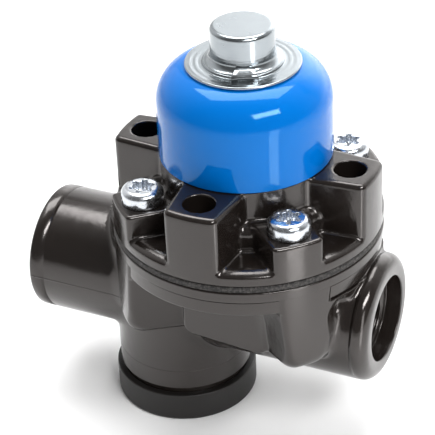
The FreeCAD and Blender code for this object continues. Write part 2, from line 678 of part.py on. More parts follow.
def coil(name, label, mean, wire, turns, low, high, x="0"):
    """Compression spring with ends ground flat between two heights."""
    length = f"({high} - ({low}) - {wire})"
    helix = doc.addObject("Part::Helix", name + "_helix")
    bind(helix, Radius=mean, Height=length, Pitch=f"{length} / {turns}")
    bind(helix, Placement__Base__z=f"{low} + {wire} / 2")
    section = doc.addObject("Part::RegularPolygon", name + "_wire")
    section.Polygon = WIRE_SIDES
    section.Placement = Placement(Vector(), Rotation(Vector(1, 0, 0), 90))
    bind(section, Circumradius=wire, Placement__Base__x=mean, Placement__Base__z=f"{low} + {wire} / 2")
    sweep = doc.addObject("Part::Sweep", name + "_sweep")
    sweep.Sections = [section]
    sweep.Spine = (helix, [])
    sweep.Solid = True
    sweep.Frenet = True
    room = cylinder(name + "_room", f"{mean} + {wire} * 2", f"{high} - ({low})", z=low)
    return finish(common(name + "_ground", sweep, room), label, x)


def make_springs():
    coil("main_coil", "main_spring", "spring_mean", "spring_wire", "spring_turns", "piston_floor", "spring_top")
    disc_low = "-chamber_roof - check_lip_drop - check_disc_height"
    coil("check_coil", "check_spring", "check_spring_mean", "check_spring_wire", "check_spring_turns",
         "-plug_top - plug_sink", disc_low, x="-chamber_offset")


def hexagon(body, flats, height="0"):
    """Sketch of a regular hexagon with a flat towards +Y."""
    half = f"({flats} / 2)"
    side = f"({flats} / 2 / sqrt(3))"
    corners = [(side, half), (f"-{side}", half), (f"-{side} * 2", "0"),
               (f"-{side}", f"-{half}"), (side, f"-{half}"), (f"{side} * 2", "0")]
    return outline(body, "XY", corners, height)


def make_adjuster():
    """Adjusting screw with a hexagon socket, and its lock nut."""
    low = "spring_top + plate_thickness"
    screw = new_body("adjuster_form")
    pad(screw, disc_outline(screw, "XY", "adjuster_radius", height=low), "adjuster_length")
    pocket(screw, hexagon(screw, "drive_flats", height=f"{low} + adjuster_length"), "drive_depth")
    finish(screw, "adjusting_screw")
    nut = new_body("nut_form")
    seat = "roof_height + lock_boss_rise"
    pad(nut, hexagon(nut, "nut_flats", height=seat), "nut_height")
    hole = disc_outline(nut, "XY", "adjuster_radius + adjuster_play", height=f"{seat} + nut_height")
    pocket(nut, hole, "nut_height")
    finish(nut, "lock_nut")


def make_caps():
    """Blue dust cap over the tower, and the drawn steel cap on top of it."""
    rim = "boss_height + cap_rim_gap"
    inside = "cap_radius - cap_wall"
    dust = turned("dust_form", [
        ("cap_hole", "cap_top"), ("cap_radius", "cap_top"), ("cap_radius", rim), (inside, rim),
        (inside, "cap_top - cap_wall"), ("cap_hole", "cap_top - cap_wall")])
    round_edges(dust, "cap_round", ring_edge("cap_radius", "cap_top"))
    round_edges(dust, "cap_round - cap_wall", ring_edge(inside, "cap_top - cap_wall"))
    finish(dust, "dust_cap")
    brim = "cap_top + hat_sheet"
    step = "cap_top + hat_sheet + hat_step_rise"
    hollow = "hat_crown - hat_sheet"
    hat = turned("hat_form", [
        (hollow, "cap_top"), ("hat_flange", "cap_top"), ("hat_flange", brim), ("hat_step", brim),
        ("hat_step", step), ("hat_crown", step), ("hat_crown", "hat_top"), ("0", "hat_top"),
        ("0", "hat_top - hat_sheet"), (hollow, "hat_top - hat_sheet")])
    round_edges(hat, "hat_crown_round", ring_edge("hat_crown", "hat_top"))
    round_edges(hat, "hat_fillet", ring_edge("hat_crown", step))
    finish(hat, "steel_cap")


def make_cover_screw(name, angle):
    """Pan head screw with a six lobed star recess."""
    x, y = around(angle, "screw_circle")
    tip = "dome_height - screw_length"
    top = "dome_height + screw_head_height"
    screw = turned("screw_" + name, [
        ("0", tip), ("screw_shank", tip), ("screw_shank", "dome_height"), ("screw_head", "dome_height"),
        ("screw_head", top), ("0", top)])
    round_edges(screw, "screw_head_round", ring_edge("screw_head", top))
    pocket(screw, disc_outline(screw, "XY", "recess_core", height=top), "recess_depth")
    lobe = pocket(screw, disc_outline(screw, "XY", "recess_lobe", x="recess_reach", height=top), "recess_depth")
    star = screw.newObject("PartDesign::PolarPattern", screw.Name + "_star")
    star.Originals = [lobe]
    star.Axis = (lobe.Profile[0], ["N_Axis"])
    star.Angle = 360
    star.Occurrences = 6
    screw.Tip = star
    doc.recompute()
    finish(screw, "cover_screw_" + name, x=x, y=y)


def make_check_valve():
    """Check disc with its rubber facing, plug, sealing ring, retaining ring and lower cap."""
    seat = "-chamber_roof - check_lip_drop"
    low = f"{seat} - check_disc_height"
    pit = f"{seat} - check_seal_depth"
    facing = "check_seal - press_play"
    finish(turned("check_form", [
        ("0", f"{low} - check_stem_length"), ("check_stem", f"{low} - check_stem_length"), ("check_stem", low),
        ("check_disc", low), ("check_disc", seat), ("check_seal", seat), ("check_seal", pit), ("0", pit)]),
        "check_disc", x="-chamber_offset")
    finish(turned("facing_form", [("0", pit), (facing, pit), (facing, seat), ("0", seat)]),
           "check_seal", x="-chamber_offset")
    plug_radius = "chamber_bore - plug_play"
    plug_low = "-plug_top - plug_height"
    groove_high = "-plug_top - (plug_height - ring_groove_width) / 2"
    groove_low = "-plug_top - (plug_height + ring_groove_width) / 2"
    guide = "check_stem + check_play"
    finish(turned("plug_form", [
        ("0", plug_low), (plug_radius, plug_low), (plug_radius, groove_low),
        (f"{plug_radius} - ring_groove", groove_low), (f"{plug_radius} - ring_groove", groove_high),
        (plug_radius, groove_high), (plug_radius, "-plug_top"), ("plug_sink_radius", "-plug_top"),
        ("plug_sink_radius", "-plug_top - plug_sink"), (guide, "-plug_top - plug_sink"),
        (guide, "-plug_top - guide_depth"), ("0", "-plug_top - guide_depth")]),
        "chamber_plug", x="-chamber_offset")
    ring = doc.addObject("Part::Torus", "ring_form")
    bind(ring, Radius1="chamber_bore - ring_cord - ring_play - plug_play", Radius2="ring_cord")
    finish(ring, "plug_seal_ring", x="-chamber_offset", z="-plug_top - plug_height / 2")
    make_chamber_cover()


def make_chamber_cover():
    """Retaining ring in its groove, and the lower cap pushed over the neck."""
    high = "-plug_top - plug_height"
    ring = new_body("clip_form")
    outer = "chamber_bore + clip_depth - thread_play"
    pad(ring, disc_outline(ring, "XY", outer, height=high), "clip_thickness", down=True)
    inner = disc_outline(ring, "XY", "chamber_bore - clip_width", height=high)
    pocket(ring, inner, "clip_thickness")
    mouth = outline(ring, "XY", [("0", "-clip_mouth / 2"), ("chamber_bore * 1.5", "-clip_mouth / 2"),
                                 ("chamber_bore * 1.5", "clip_mouth / 2"), ("0", "clip_mouth / 2")], height=high)
    pocket(ring, mouth, "clip_thickness")
    finish(ring, "retaining_ring", x="-chamber_offset")
    inside = "chamber_neck + lower_cap_play"
    floor = "-lower_cap_base + lower_cap_floor"
    cap = turned("lower_cap_form", [
        ("0", "-lower_cap_base"), ("lower_cap_radius", "-lower_cap_base"), ("lower_cap_radius", "-lower_cap_rim"),
        (inside, "-lower_cap_rim"), (inside, floor), ("0", floor)])
    round_edges(cap, "lower_cap_edge", ring_edge("lower_cap_radius", "-lower_cap_base"))
    finish(cap, "lower_cap", x="-chamber_offset")


def build():
    make_body()
    make_cover()
    make_diaphragm()
    make_main_valve()
    make_springs()
    make_adjuster()
    make_caps()
    for name, angle in DIAGONALS.items():
        make_cover_screw(name, angle)
    make_check_valve()


build()
doc.recompute()
bad = [thing.Name for thing in doc.Objects if "Invalid" in thing.State or "Error" in thing.State]
if bad:
    raise RuntimeError("not built: " + ", ".join(bad))
os.makedirs("parts", exist_ok=True)
for piece in PIECES:
    if piece.Shape.isNull() or not piece.Shape.isValid():
        raise RuntimeError("bad shape: " + piece.Label)
    piece.Shape.exportStep("parts/" + piece.Label + ".step")
    bounds = piece.Shape.optimalBoundingBox()
    print(piece.Label, len(piece.Shape.Solids), round(piece.Shape.Volume),
          [round(v, 2) for v in (bounds.XMin, bounds.XMax, bounds.YMin, bounds.YMax, bounds.ZMin, bounds.ZMax)])
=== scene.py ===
"""Looks of a diaphragm pressure protection valve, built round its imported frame."""

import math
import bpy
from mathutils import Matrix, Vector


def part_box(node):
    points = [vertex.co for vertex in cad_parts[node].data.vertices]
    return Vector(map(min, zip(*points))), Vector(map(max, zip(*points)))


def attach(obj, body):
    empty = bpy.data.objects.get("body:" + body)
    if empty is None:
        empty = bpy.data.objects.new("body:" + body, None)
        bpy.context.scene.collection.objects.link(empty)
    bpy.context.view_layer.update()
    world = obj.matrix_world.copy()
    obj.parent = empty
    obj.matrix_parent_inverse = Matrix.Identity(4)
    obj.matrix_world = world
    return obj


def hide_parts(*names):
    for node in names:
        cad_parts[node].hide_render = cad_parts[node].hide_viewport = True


bl_info = {
    "name": "Pressure protection valve",
    "version": (1, 0, 0),
    "blender": (4, 5, 0),
    "location": "View3D > Sidebar > Valve",
    "description": "Cast housing, dust cap, steel cap, screws and port threads of an air brake valve",
    "category": "Add Mesh",
}

import bmesh
import bpy
import numpy as np
from bpy.props import FloatProperty, FloatVectorProperty, PointerProperty
from mathutils import Matrix, Vector

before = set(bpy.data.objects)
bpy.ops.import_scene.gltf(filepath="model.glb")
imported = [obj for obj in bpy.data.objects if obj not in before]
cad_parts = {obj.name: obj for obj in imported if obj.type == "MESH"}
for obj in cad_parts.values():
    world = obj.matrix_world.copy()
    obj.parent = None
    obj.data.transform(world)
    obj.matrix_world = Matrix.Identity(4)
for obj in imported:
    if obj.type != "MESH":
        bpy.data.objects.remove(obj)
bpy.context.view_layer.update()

MM = 0.001
COVER_LOW, COVER_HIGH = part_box("cover")
BODY_LOW, BODY_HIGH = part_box("valve_body")
CAP_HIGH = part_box("dust_cap")[1]
FOOT_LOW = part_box("lower_cap")[0]
JOINT = COVER_LOW.z / MM

# Shared places in millimetres; heights count from the joint plane, where cover and diaphragm meet
SCREW_CIRCLE = 31.3
TALL_TOP, LOW_TOP = 20.8, 11.5
CAP_TOP = 47.9
SLAB_LEVEL = -9.9
STEP_LEVEL = -5.2
PORT_LEVEL = -26.9
CHECK_X = -22.7

# Round forms of the cover: radius, top and rounding
DOME = (27.6, LOW_TOP, 3.0)
WIDE_TOWER = (24.2, TALL_TOP, 0.3)
TOWER = (22.9, 39.5, 7.0)
LOCK_BOSS, LOCK_TOP = 12.0, 40.5
RIM_TOP, FLANGE_TOP = 3.0, 4.2
LOW_HALF, TALL_HALF = 7.2, 7.8
BOSS_FLARE, BOSS_ROOT = 4.5, 15.0
HOLE_FLOOR, SCREW_HOLE, ADJUSTER_BORE = 5.3, 3.3, 5.05
DIAPHRAGM_ROOM, SPRING_ROOM = (24.3, 10.6), (18.6, 34.0)

# Round and straight forms of the body
BARREL, BARREL_CORE, COUNTERBORE, PASSAGE = 18.84, 13.4, 12.68, 6.5
CHAMBER, CHAMBER_BORE, CHAMBER_SEAM, CHECK_ROOF = 20.1, 14.5, -49.5, -43.5
COLUMN_NEAR, COLUMN_FAR, COLUMN_ROOT = 5.9, 10.0, 12.0
COLUMN_FLARE, COLUMN_DRAFT = 12.0, 6.0
COLUMN_END, COLUMN_ROUND = -31.5, 5.0
BLOCK_LEFT, BLOCK_RIGHT, BLOCK_HALF, BLOCK_END, BLOCK_FALL = -11.0, 15.0, 24.0, -30.7, 0.07
INLET_SEAM, OUTLET_SEAM = -60.0, 38.0
INLET_WALL, OUTLET_WALL = -46.0, 22.0


def length(name, description, default, lowest=0.0):
    """Size in metres with its own slider."""
    return FloatProperty(name=name, description=description, default=default, min=lowest,
                         subtype="DISTANCE", unit="LENGTH", precision=5)


def colour(name, description, default):
    """Linear colour swatch."""
    return FloatVectorProperty(name=name, description=description, default=default, size=3,
                               subtype="COLOR", min=0.0, max=1.0)


class ValveSizes(bpy.types.PropertyGroup):
    """Sizes of the visible pieces; those of the frame are their defaults."""
    flange: length("Flange radius", "Round flange of cover and body", COVER_HIGH.x)
    boss_edge: length("Boss edge", "Rounding of the mounting boss edges", 0.0016)
    cast_fillet: length("Cast fillet", "Rounding in the inner corners of the castings", 0.0011)
    hole: length("Mounting hole", "Radius of the cast mounting holes", 0.0045)
    port: length("Port bore", "Minor radius of the port thread", 0.01019)
    pitch: length("Thread pitch", "Pitch of the port threads", 0.0015)
    cap: length("Dust cap radius", "Outside of the dust cap", CAP_HIGH.x)
    cap_round: length("Dust cap shoulder", "Rounding of the dust cap shoulder", 0.0105)
    head: length("Screw head radius", "Radius of the cover screw heads", 0.006)
    grid: length("Casting grid", "Spacing of the points that give the castings", 0.0005, 0.0002)


class ValveLooks(bpy.types.PropertyGroup):
    """Colours and finishes."""
    paint: colour("Paint", "Gloss paint of both castings", (0.011, 0.0085, 0.0072))
    cap_blue: colour("Cap blue", "Moulded dust cap", (0.0, 0.135, 0.50))
    steel: colour("Steel", "Bright drawn sheet", (0.34, 0.37, 0.39))
    zinc: colour("Zinc", "Plated cover screws", (0.62, 0.65, 0.69))
    rubber: colour("Rubber", "Diaphragm edge", (0.022, 0.020, 0.019))
    plastic: colour("Lower cap", "Cap under the check valve", (0.0075, 0.0062, 0.0055))
    floor: colour("Floor", "Floor and backdrop", (0.9, 0.9, 0.9))


def sizes():
    """The sizes that the sidebar shows."""
    return bpy.context.scene.valve_sizes


def looks():
    """The colours that the sidebar shows."""
    return bpy.context.scene.valve_looks


# Meshes

def add_mesh(name, points, faces, normals=None):
    """Mesh object from points in millimetres above the joint plane, smooth shaded."""
    mesh = bpy.data.meshes.new(name)
    placed = (np.asarray(points, float) + (0, 0, JOINT)) * MM
    mesh.from_pydata(placed.tolist(), [], [tuple(f) for f in faces])
    mesh.validate()
    mesh.polygons.foreach_set("use_smooth", np.ones(len(mesh.polygons), bool))
    if normals is not None:
        mesh.normals_split_custom_set_from_vertices(normals.tolist())
    piece = bpy.data.objects.new(name, mesh)
    bpy.context.scene.collection.objects.link(piece)
    return piece


def dress(piece, material, slot, *nodes, body="housing"):
    """Give a piece its finish and its body, and hide the nodes that it stands for."""
    piece.data.materials.clear()
    piece.data.materials.append(material)
    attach(piece, body)
    if nodes:
        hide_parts(*nodes)
    return piece


def ring_faces(rows, around, closed_profile):
    """Quads of a turned grid: row i, column j to its neighbours, wrapping round the axis."""
    i = np.arange(rows if closed_profile else rows - 1)[:, None]
    j = np.arange(around)[None, :]
    up, side = (i + 1) % rows, (j + 1) % around
    a, b = i * around + j, i * around + side
    c, d = up * around + side, up * around + j
    return np.stack(np.broadcast_arrays(a, b, c, d), -1).reshape(-1, 4)


def rounded_profile(corners, step=0.35):
    """Profile through corners (radius, height, rounding), each corner turned with an arc.

    An arc of radius q touches both runs at q / tan(half the corner's angle) from the corner,
    and its centre lies on the corner's bisector, q / sin(half the angle) away.
    """
    points = []
    count = len(corners)
    for k, (r, z, q) in enumerate(corners):
        here = np.array((r, z), float)
        before = np.array(corners[k - 1][:2], float) - here
        after = np.array(corners[(k + 1) % count][:2], float) - here
        before /= np.hypot(*before)
        after /= np.hypot(*after)
        half = math.acos(np.clip(before @ after, -1, 1)) / 2
        if q <= 0 or abs(half - math.pi / 2) < 1e-3:
            points.append(here)
            continue
        reach = q / math.tan(half)
        bisector = (before + after) / np.hypot(*(before + after))
        centre = here + bisector * q / math.sin(half)
        start, end = here + before * reach - centre, here + after * reach - centre
        a0, a1 = math.atan2(start[1], start[0]), math.atan2(end[1], end[0])
        turn = (a1 - a0 + math.pi) % (2 * math.pi) - math.pi
        steps = max(4, int(abs(turn) * q / step))
        angles = a0 + turn * np.linspace(0, 1, steps + 1)
        points.extend(centre + q * np.stack((np.cos(angles), np.sin(angles)), -1))
    return np.array(points)


def widened(profile, margin=0.12):
    """Profile with extra points next to its corners, so that flat runs stay flat when shaded.

    A run longer than four margins gets one point a margin from either end.
    """
    ahead = np.roll(profile, -1, 0) - profile
    long = np.hypot(*ahead.T)
    unit = ahead / np.maximum(long, 1e-9)[:, None]
    near = np.minimum(margin, long / 3)[:, None]
    split = (long > margin * 4)[:, None]
    first = np.where(split, profile + unit * near, np.nan)
    last = np.where(split, profile + unit * (long[:, None] - near), np.nan)
    rows = np.stack((profile, first, last), 1).reshape(-1, 2)
    return rows[~np.isnan(rows[:, 0])]


def turned(corners, centre=(0.0, 0.0), around=192, step=0.35):
    """Closed profile turned about an upright axis.

    A point (r, h) goes to centre + (r cos a, r sin a) at height h.
    """
    profile = widened(rounded_profile(corners, step))
    angle = np.arange(around) * 2 * math.pi / around
    r, h = profile[:, :1], profile[:, 1:]
    x, y = centre[0] + r * np.cos(angle), centre[1] + r * np.sin(angle)
    points = np.stack((x, y, np.broadcast_to(h, x.shape)), -1).reshape(-1, 3)
    faces = ring_faces(len(profile), around, True)
    r, h = profile.T
    turning = np.sum(r * np.roll(h, -1) - np.roll(r, -1) * h)
    if turning < 0:
        faces = faces[:, ::-1]
    return points, faces


# Castings as distance fields: negative inside, in millimetres above the joint plane

def joined(a, b, q):
    """Union whose inner corner is an arc of radius q.

    It is max(q, min(a, b)) less the length of (q - a, q - b), of which only positive parts count.
    """
    return np.maximum(q, np.minimum(a, b)) - np.hypot(np.maximum(q - a, 0), np.maximum(q - b, 0))


def trimmed(a, b, q):
    """Intersection whose outer edge is an arc of radius q: the same with the signs turned round."""
    return np.minimum(-q, np.maximum(a, b)) + np.hypot(np.maximum(q + a, 0), np.maximum(q + b, 0))


def round_form(r, z, radius, top, edge):
    """Upright cylinder with a rounded upper edge."""
    return trimmed(r - radius, z - top, edge)


def cast_boss(along, across, z, half, top, edge, rim):
    """Radial boss with rounded edges, whose half width grows by tan(flare) towards the axis."""
    flare = math.radians(BOSS_FLARE)
    side = (np.abs(across) - half - (rim - along) * math.tan(flare)) * math.cos(flare)
    wall = trimmed(side, np.hypot(along, across) - rim, edge)
    return np.maximum(trimmed(wall, z - top, edge), BOSS_ROOT - along)


def cover_field(x, y, z):
    """Cover casting: flange with sloped rim, rounded dome, tower, four tall and four low bosses.

    |x| and |y| fold the four quarters on one tall boss along u and one low boss along p.
    """
    s = sizes()
    rim, fillet = s.flange / MM, s.cast_fillet / MM
    r = np.hypot(x, y)
    u, v = np.maximum(np.abs(x), np.abs(y)), np.minimum(np.abs(x), np.abs(y))
    p, q = (u + v) / math.sqrt(2), (u - v) / math.sqrt(2)
    slope = (r - rim) * 0.555 + (z - RIM_TOP) * 0.832
    flange = trimmed(trimmed(slope, z - FLANGE_TOP, 0.8), trimmed(r - rim, -z, 0.4), 0.5)
    shape = joined(flange, round_form(r, z, *DOME), fillet * 1.4)
    shape = joined(shape, round_form(r, z, *WIDE_TOWER), fillet * 1.4)
    low = cast_boss(p, q, z, LOW_HALF, LOW_TOP, 1.0, rim)
    shape = joined(shape, low, fillet)
    tall = cast_boss(u, v, z, TALL_HALF, TALL_TOP, s.boss_edge / MM, rim)
    shape = joined(shape, tall, fillet)
    shape = np.maximum(shape, round_form(r, z, rim, TALL_TOP, 0.2))
    shape = np.maximum(shape, -z)
    lock_boss = np.maximum(r - LOCK_BOSS, z - LOCK_TOP)
    shape = np.minimum(shape, np.minimum(round_form(r, z, *TOWER), lock_boss))
    hole = np.maximum(np.hypot(u - SCREW_CIRCLE, v) - s.hole / MM, HOLE_FLOOR - z)
    shape = trimmed(shape, -hole, 0.35)
    shape = np.maximum(shape, SCREW_HOLE - np.hypot(p - SCREW_CIRCLE, q))
    rooms = [np.maximum(r - radius, z - roof) for radius, roof in (DIAPHRAGM_ROOM, SPRING_ROOM)]
    return np.maximum(shape, -np.minimum(np.minimum(*rooms), r - ADJUSTER_BORE))


def body_field(x, y, z):
    """Body casting below its flange edge: four tapered screw columns, block, port bar and chamber.

    |x| and |y| fold the four columns on one; the columns narrow downwards and have round feet.
    A web with larger roundings fills the corner between a column's far side, slab and bar. Where
    a turned end takes over, the core dips by 0.05 mm, so that their seam doesn't show, and four
    flat cuts end it inside those pieces.
    """
    s = sizes()
    rim, fillet = s.flange / MM, s.cast_fillet / MM * 1.3
    r = np.hypot(x, y)
    u, v = np.abs(x), np.abs(y)
    along, across = (u + v) / math.sqrt(2), (v - u) / math.sqrt(2)
    flare = math.radians(COLUMN_FLARE)
    narrowing = (STEP_LEVEL - z) * math.tan(math.radians(COLUMN_DRAFT))
    near = (across - COLUMN_NEAR - (rim - along) * math.tan(flare) + narrowing) * math.cos(flare)
    far = narrowing - across - COLUMN_FAR
    prism = np.maximum(trimmed(near, far, 1.3), COLUMN_ROOT - along)
    foot = trimmed(r - rim + 0.1 * np.clip((z + 5.25) / 0.2, 0, 1), COLUMN_END - z, COLUMN_ROUND)
    foot_edge = np.interp(z, (-30.0, -22.0), (3.0, 1.2))
    tucked = np.clip((INLET_SEAM - x) / 0.4, 0, 1) + np.clip((x - OUTLET_SEAM) / 0.4, 0, 1)
    bar = np.hypot(y, z - PORT_LEVEL) - BARREL + 0.05 * tucked
    column = trimmed(prism, foot, foot_edge)
    web = joined(prism, SLAB_LEVEL - z, np.interp(across, (-8.0, -3.0), (6.0, 1.0)))
    web = joined(web, bar, np.interp(x, (20.0, 30.0), (1.0, 7.0)))
    web = np.maximum(trimmed(web, foot, foot_edge), z - SLAB_LEVEL)
    slab = trimmed(r - rim + 1.3, SLAB_LEVEL - z, 0.3)
    block = np.maximum(BLOCK_LEFT - x, x - BLOCK_RIGHT)
    block = trimmed(block, BLOCK_END - BLOCK_FALL * x - z, 3.0)
    block = trimmed(block, v - BLOCK_HALF, 0.9)
    tucked = np.clip((CHAMBER_SEAM - z) / 0.4, 0, 1)
    chamber = np.hypot(x - CHECK_X, y) - CHAMBER + 0.05 * tucked
    columns = np.minimum(joined(slab, column, 1.2), web)
    shape = joined(bar, columns, np.interp(x, (-32.0, -22.0), (3.0, 1.2)))
    shape = joined(shape, block, fillet)
    shape = joined(shape, chamber, fillet * 1.2)
    ports = np.minimum(OUTLET_WALL - x, x - INLET_WALL)
    ports = np.maximum(np.hypot(y, z - PORT_LEVEL) - BARREL_CORE, ports)
    check_room = np.maximum(np.hypot(x - CHECK_X, y) - CHAMBER_BORE, z - CHECK_ROOF)
    shape = np.maximum(shape, -np.minimum(ports, check_room))
    for cut in (x - OUTLET_SEAM - 1.0, INLET_SEAM - 1.0 - x, z + 4.0, CHAMBER_SEAM - 1.5 - z):
        shape = np.maximum(shape, cut)
    return shape


def field_slope(field, points, step=0.03):
    """Value and gradient of a field at points, by central differences."""
    x, y, z = points.T
    value = field(x, y, z)
    slope = np.stack((
        field(x + step, y, z) - field(x - step, y, z),
        field(x, y + step, z) - field(x, y - step, z),
        field(x, y, z + step) - field(x, y, z - step)), -1) / (2 * step)
    return value, slope


def settled(field, points, reach, rounds=4):
    """Points moved onto the surface along the gradient, f / |grad f| at a time, never past reach."""
    start = points.copy()
    for _ in range(rounds):
        value, slope = field_slope(field, points)
        points = points - slope * (value / np.maximum((slope ** 2).sum(1), 0.2))[:, None]
        points = start + np.clip(points - start, -reach, reach)
    return points


def polar(r, angle, z):
    """Place of a point of the polar grid: (r cos a, r sin a, z)."""
    return r * np.cos(angle), r * np.sin(angle), z


def plain(x, y, z):
    """Place of a point of the straight grid."""
    return x, y, z


def field_surface(field, axes, placing, wraps=False):
    """Surface of a field: one point for each grid cell that it crosses, one quad for each grid edge.

    A point starts at the mean of the crossings on its cell's edges, where a linear run between
    two corners of unlike sign reaches zero, then settles on the surface. Normals are the gradient.
    With wraps, the second axis is an angle and closes on itself.
    """
    grid = np.meshgrid(*axes, indexing="ij")
    values = field(*placing(*grid)).astype(np.float32)
    spans = [np.append(a, a[0] + 2 * math.pi) if wraps and k == 1 else a for k, a in enumerate(axes)]
    whole = np.concatenate((values, values[:, :1]), 1) if wraps else values
    inside = whole < 0
    n = [k - 1 for k in inside.shape]
    corners = [(i, j, k) for i in (0, 1) for j in (0, 1) for k in (0, 1)]
    total = sum(inside[i:i + n[0], j:j + n[1], k:k + n[2]].astype(np.int8) for i, j, k in corners)
    active = (total > 0) & (total < 8)
    ids = np.full(active.shape, -1, np.int64)
    ids[active] = np.arange(active.sum())
    cell = np.stack(np.nonzero(active), -1)
    at = {c: whole[tuple((cell + c).T)] for c in corners}
    place = {c: np.stack([spans[k][cell[:, k] + c[k]] for k in range(3)], -1) for c in corners}
    mean, hits = np.zeros((len(cell), 3)), np.zeros(len(cell))
    for a in corners:
        for k in range(3):
            if a[k]:
                continue
            b = tuple(1 if m == k else a[m] for m in range(3))
            crossed = (at[a] < 0) != (at[b] < 0)
            share = np.where(crossed, at[a] / np.where(crossed, at[a] - at[b], 1), 0)[:, None]
            mean += np.where(crossed[:, None], place[a] + share * (place[b] - place[a]), 0)
            hits += crossed
    mean /= hits[:, None]
    points = np.stack(placing(*mean.T), -1)
    points = settled(field, points, 0.35 * sizes().grid / MM)
    slope = field_slope(field, points)[1]
    normals = slope / np.maximum(np.linalg.norm(slope, axis=1), 1e-6)[:, None]
    return points, edge_quads(ids, inside, wraps), normals


def edge_quads(ids, inside, wraps):
    """Quads between the four cells round each grid edge whose ends differ, facing outwards."""
    if wraps:
        inside = inside[:, :-1]
    quads = []
    for d in range(3):
        e, g = (d + 1) % 3, (d + 2) % 3
        around = {}
        for a in (0, 1):
            for b in (0, 1):
                cells = ids
                for axis, step in ((e, a), (g, b)):
                    if wraps and axis == 1:
                        cells = cells if step else np.roll(cells, 1, axis)
                        continue
                    pad = [(0, 0)] * 3
                    pad[axis] = (0, 1) if step else (1, 0)
                    cells = np.pad(cells, pad, constant_values=-1)
                around[a, b] = cells
        if wraps and d == 1:
            change = inside.astype(np.int8) - np.roll(inside, -1, 1).astype(np.int8)
        else:
            change = -np.diff(inside.astype(np.int8), axis=d)
        loop = np.stack([around[k] for k in ((0, 0), (1, 0), (1, 1), (0, 1))], -1)
        real = (loop >= 0).all(-1)
        quads.append(loop[(change > 0) & real])
        quads.append(loop[(change < 0) & real][:, ::-1])
    return np.concatenate(quads)


# Pieces

def steps(*runs):
    """Coordinates joined from runs of (first, last, spacing)."""
    return np.concatenate([np.arange(a, b, h) for a, b, h in runs])


def cover_piece():
    """Cover on a polar grid, coarse where the caps hide it, with as many steps in each quarter."""
    h = sizes().grid / MM * 1.15
    r = steps((4.3, 6.5, 1.1), (6.5, 17.5, 2.4), (17.9, 21.0, 0.8), (21.3, 39.9, h))
    angle = np.arange(0, 2 * math.pi - 1e-6, 2 * math.pi / (8 * int(30.5 / h)))
    z = steps((-0.27, 21.4, h), (21.9, 41.8, 1.3))
    return field_surface(cover_field, (r, angle, z), polar, wraps=True)


def body_piece():
    """Body's core on a straight grid."""
    h = sizes().grid / MM * 1.2
    x = steps((-61.81, 40.3, h))
    y = steps((-39.7, 39.9, h))
    z = steps((-52.0, -3.3, h))
    return field_surface(body_field, (x, y, z), plain)


def flange_ring():
    """Turned rim of the body's flange, with the groove under its step."""
    rim = sizes().flange / MM
    return turned([
        (30.0, -10.0, 0), (rim - 0.5, -10.0, 0.8), (rim - 0.5, -5.65, 0.1), (rim - 0.95, -5.45, 0.05),
        (rim - 0.5, STEP_LEVEL, 0.05), (rim, STEP_LEVEL, 0.2), (rim, -2.1, 0.4), (30.0, -2.1, 0)],
        around=384)


def port_end(reach, sign, rounding):
    """End of a port barrel with its sealing counterbore and its thread, turned about the port axis.

    The thread's wall is at r = bore + depth * tooth(h / pitch - a / 2 pi), where tooth is a
    flattened triangle wave, so that its ridges climb one pitch a turn.
    """
    s = sizes()
    bore, pitch = s.port / MM, s.pitch / MM
    around = 160
    seam = OUTLET_SEAM if sign > 0 else -INLET_SEAM
    face = reach - 5.0
    thread_end = reach - 18.6
    profile = rounded_profile([
        (PASSAGE, 12.0, 0), (BARREL_CORE, 12.0, 0), (BARREL_CORE, seam, 0), (BARREL, seam, 0),
        (BARREL, reach, rounding), (COUNTERBORE, reach, 0.35), (COUNTERBORE, face, 0.3),
        (bore + 0.9, face, 0), (bore, face - 0.9, 0)], 0.3)
    angle = np.arange(around) * 2 * math.pi / around
    thread_h = np.arange(reach - 6.0, thread_end, -pitch / 10)[:, None]
    turn = thread_h / pitch - sign * angle / (2 * math.pi)
    tooth = np.abs((turn % 1.0) * 2 - 1)
    depth = 0.8 * np.clip((tooth - 0.12) / 0.76, 0, 1) * np.clip(thread_h - thread_end, 0, 1)
    tail_r = np.array([[bore], [PASSAGE]])
    tail_h = np.array([[reach - 19.0], [reach - 19.02]])
    r = np.concatenate((np.repeat(profile[:, :1], around, 1), bore + depth, np.repeat(tail_r, around, 1)))
    h = np.repeat(np.concatenate((profile[:, 1:], thread_h, tail_h)), around, 1)
    points = np.stack((sign * h, r * np.cos(angle), PORT_LEVEL + r * np.sin(angle)), -1).reshape(-1, 3)
    faces = ring_faces(len(r), around, True)
    return points, faces if sign > 0 else faces[:, ::-1]


def chamber_end():
    """Lower end of the check valve chamber, with the step that the lower cap sits on."""
    return turned([
        (CHAMBER_BORE, -64.6, 0.1), (19.3, -64.6, 0.3), (19.3, -55.9, 0.15), (CHAMBER, -55.9, 0.3),
        (CHAMBER, CHAMBER_SEAM, 0), (CHAMBER_BORE, CHAMBER_SEAM, 0)], centre=(CHECK_X, 0), around=224)


def cap_shell():
    """Dust cap: a cup upside down with a large round shoulder and a hole for the steel cap."""
    s = sizes()
    r, q = s.cap / MM, s.cap_round / MM
    wall, base, hole = 1.5, 21.0, 7.5
    return turned([
        (r, base, 0.25), (r, CAP_TOP, q), (hole, CAP_TOP, 0.2), (hole, CAP_TOP - wall, 0),
        (r - wall, CAP_TOP - wall, q - wall), (r - wall, base, 0.2)], around=288, step=0.3)


def hat_shell():
    """Steel cap: drawn crown over a flat brim."""
    return turned([
        (8.1, CAP_TOP, 0), (16.2, CAP_TOP, 0.25), (16.2, 48.8, 0.35), (11.4, 48.8, 0.3), (11.3, 49.5, 0.3),
        (9.0, 49.5, 2.1), (9.0, 59.7, 1.3), (0.0, 59.7, 0), (0.0, 58.8, 0), (8.1, 58.8, 0.5)], step=0.2)


